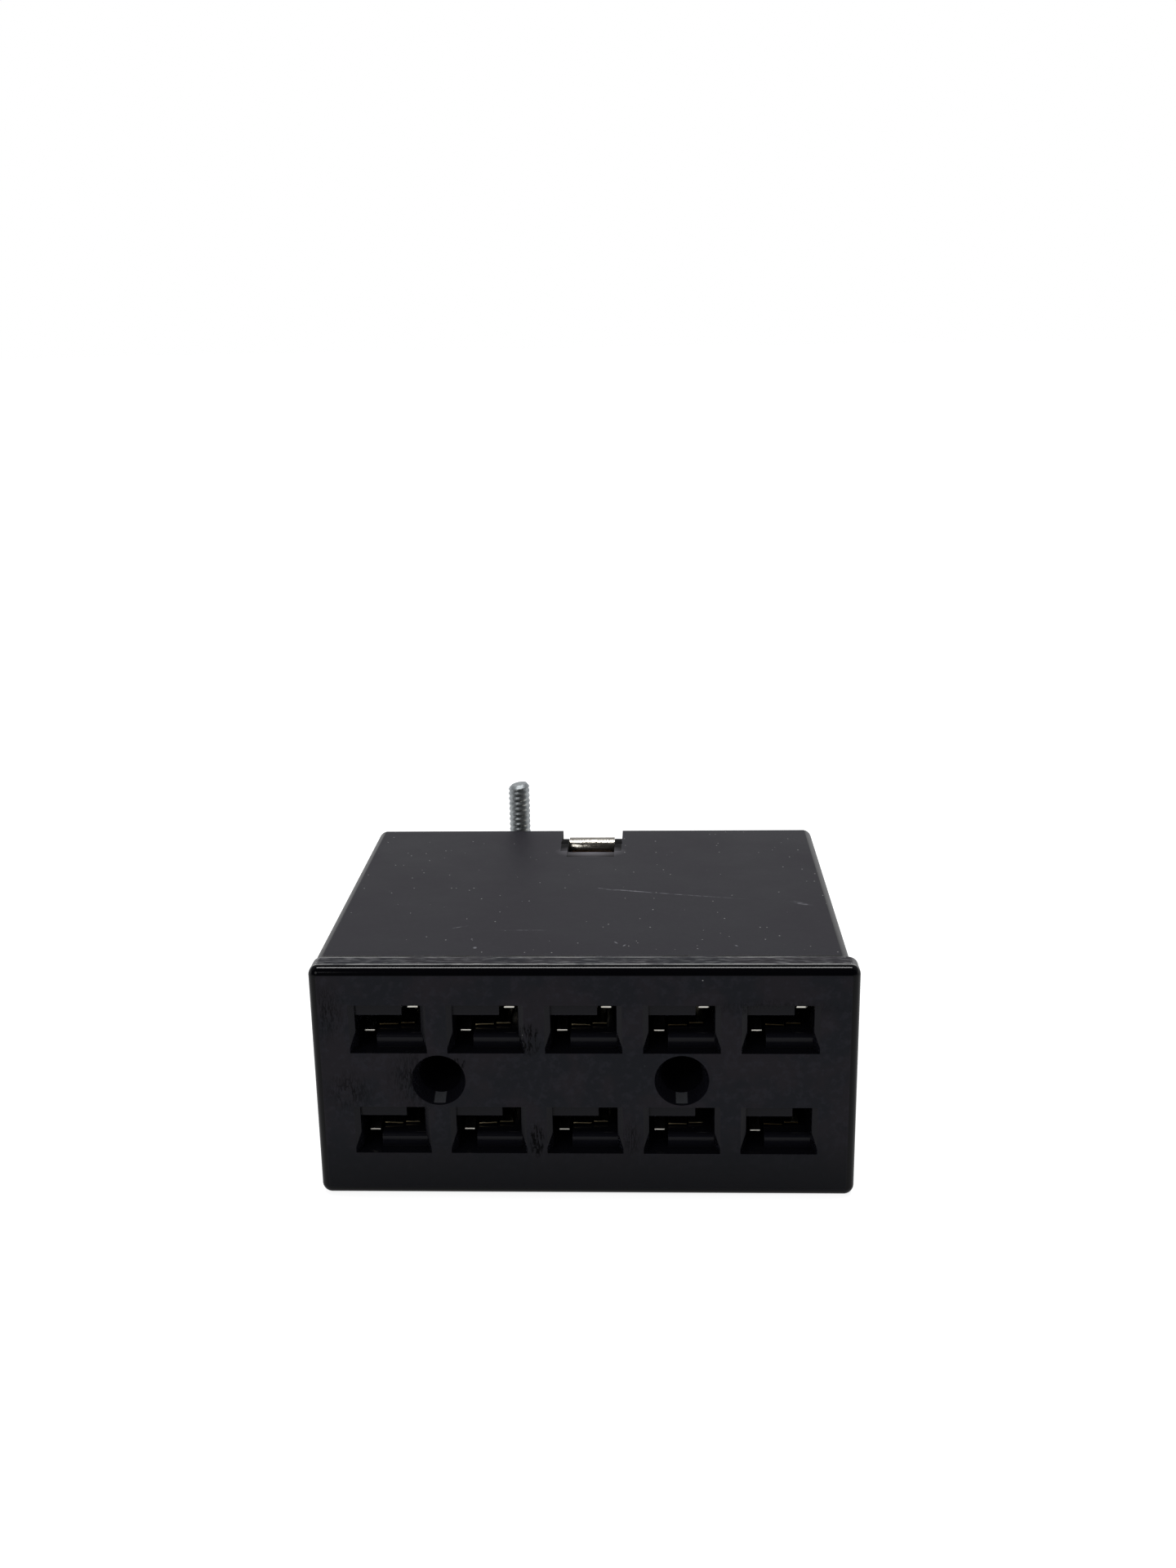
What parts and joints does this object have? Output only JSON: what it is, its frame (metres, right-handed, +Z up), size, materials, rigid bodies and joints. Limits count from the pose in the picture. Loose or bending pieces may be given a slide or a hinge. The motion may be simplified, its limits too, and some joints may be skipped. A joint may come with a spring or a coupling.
{
  "type": "relay socket",
  "caption": "Black plug-in relay socket with blade contacts in rows, round guide holes, a wiring shell and a rear cable clamp worked by a screw.",
  "frame": {"origin": "middle of the base that the socket stands on, half way between the relay face and the shell's rear face", "axes": "+X across the relay face to its right, +Y from the relay face back to the cable clamp, +Z up"},
  "size_m": [0.0568, 0.0545, 0.0311],
  "materials": {
    "block": "glossy black moulded phenolic with scuffs",
    "shell": "satin grey-black moulded thermoset",
    "contacts": "stamped brass, silver plated, bare on sheared edges",
    "insulator": "brown laminated paper board",
    "small_screws": "zinc plated steel",
    "clamp_sheet": "nickel plated spring steel",
    "clamp_fasteners": "zinc plated steel"
  },
  "bodies": {
    "socket": {"contact_block": "block", "housing_shell": "shell", "contact_1": "contacts", "contact_2": "contacts", "contact_3": "contacts", "contact_4": "contacts", "contact_5": "contacts", "contact_6": "contacts", "contact_7": "contacts", "contact_8": "contacts", "contact_9": "contacts", "contact_10": "contacts", "rear_insulator": "insulator", "insulator_screw_left": "small_screws", "insulator_screw_right": "small_screws", "clamp_frame": "clamp_sheet"},
    "saddle": {"clamp_saddle": "clamp_sheet", "clamp_nut": "clamp_fasteners"},
    "screw": {"clamp_screw": "clamp_fasteners", "clamp_washer": "clamp_fasteners"}
  },
  "joints": [
    {"name": "saddle_lift", "type": "slide", "parent": "socket", "child": "saddle", "axis": [0, 0, 1], "range_m": [0, 0.0042]},
    {"name": "screw_turn", "type": "hinge", "parent": "socket", "child": "screw", "pos_m": [-0.01035, 0.0276, 0.009], "axis": [0, 0, -1], "range_deg": [0, 2145]}
  ],
  "couplings": [
    {"joint": "screw_turn", "follows": "saddle_lift", "rad_per_m": 8905.3}
  ]
}
